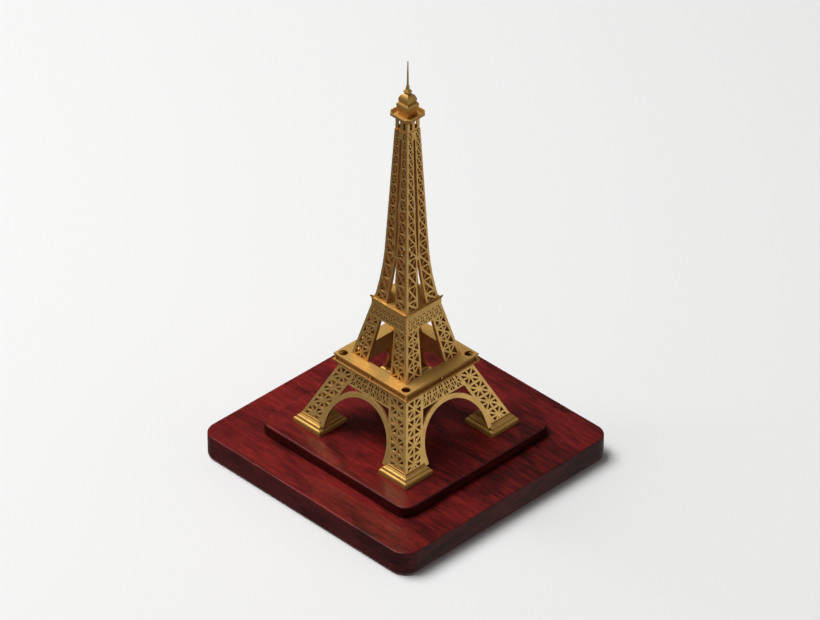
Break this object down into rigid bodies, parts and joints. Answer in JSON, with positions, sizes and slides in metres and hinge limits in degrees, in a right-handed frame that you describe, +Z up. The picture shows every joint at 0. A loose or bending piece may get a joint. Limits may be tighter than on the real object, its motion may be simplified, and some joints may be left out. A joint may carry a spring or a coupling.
{
  "type": "miniature lattice tower ornament",
  "caption": "Desk ornament: a tapering square lattice tower of brass plates on arched legs, with a gallery, a deck and a needle top, on a two-step wooden base.",
  "frame": {"origin": "on the table, under the centre of the base, in the plane of the pads' undersides", "axes": "+Z up along the tower's axis to the needle's tip, +X and +Y square to the base's sides, which are alike"},
  "size_m": [0.2, 0.2, 0.321],
  "materials": {
    "lacquered_wood": "dark red mahogany under a clear gloss lacquer",
    "pad_felt": "black felt disc",
    "zinc_steel": "zinc plated",
    "lattice_brass": "antique brass, satin, darker in the recesses",
    "cast_brass": "antique brass, polished on the ledges"
  },
  "bodies": {
    "root": {"base_board": "lacquered_wood", "plinth_board": "lacquered_wood", "base_pad_1": "pad_felt", "base_pad_2": "pad_felt", "base_pad_3": "pad_felt", "base_pad_4": "pad_felt", "foot_screws": "zinc_steel", "foot_washers": "zinc_steel", "lower_leg_1": "lattice_brass", "lower_leg_2": "lattice_brass", "lower_leg_3": "lattice_brass", "lower_leg_4": "lattice_brass", "lower_band_1": "lattice_brass", "lower_band_2": "lattice_brass", "lower_band_3": "lattice_brass", "lower_band_4": "lattice_brass", "arch_1": "lattice_brass", "arch_2": "lattice_brass", "arch_3": "lattice_brass", "arch_4": "lattice_brass", "upper_leg_1": "lattice_brass", "upper_leg_2": "lattice_brass", "upper_leg_3": "lattice_brass", "upper_leg_4": "lattice_brass", "upper_band_1": "lattice_brass", "upper_band_2": "lattice_brass", "upper_band_3": "lattice_brass", "upper_band_4": "lattice_brass", "spire_leg_1": "lattice_brass", "spire_leg_2": "lattice_brass", "spire_leg_3": "lattice_brass", "spire_leg_4": "lattice_brass", "spire_gussets": "lattice_brass", "spire_neck": "lattice_brass", "deck_collar": "lattice_brass", "gallery_posts": "lattice_brass", "foot_block_1": "cast_brass", "foot_block_2": "cast_brass", "foot_block_3": "cast_brass", "foot_block_4": "cast_brass", "gallery_flange": "cast_brass", "gallery_web": "cast_brass", "gallery_plate": "cast_brass", "well_liner": "cast_brass", "deck_tray": "cast_brass", "lookout_tray": "cast_brass", "cap_ring": "cast_brass", "cap_dome": "cast_brass", "finial": "cast_brass", "needle": "cast_brass"}
  },
  "joints": []
}
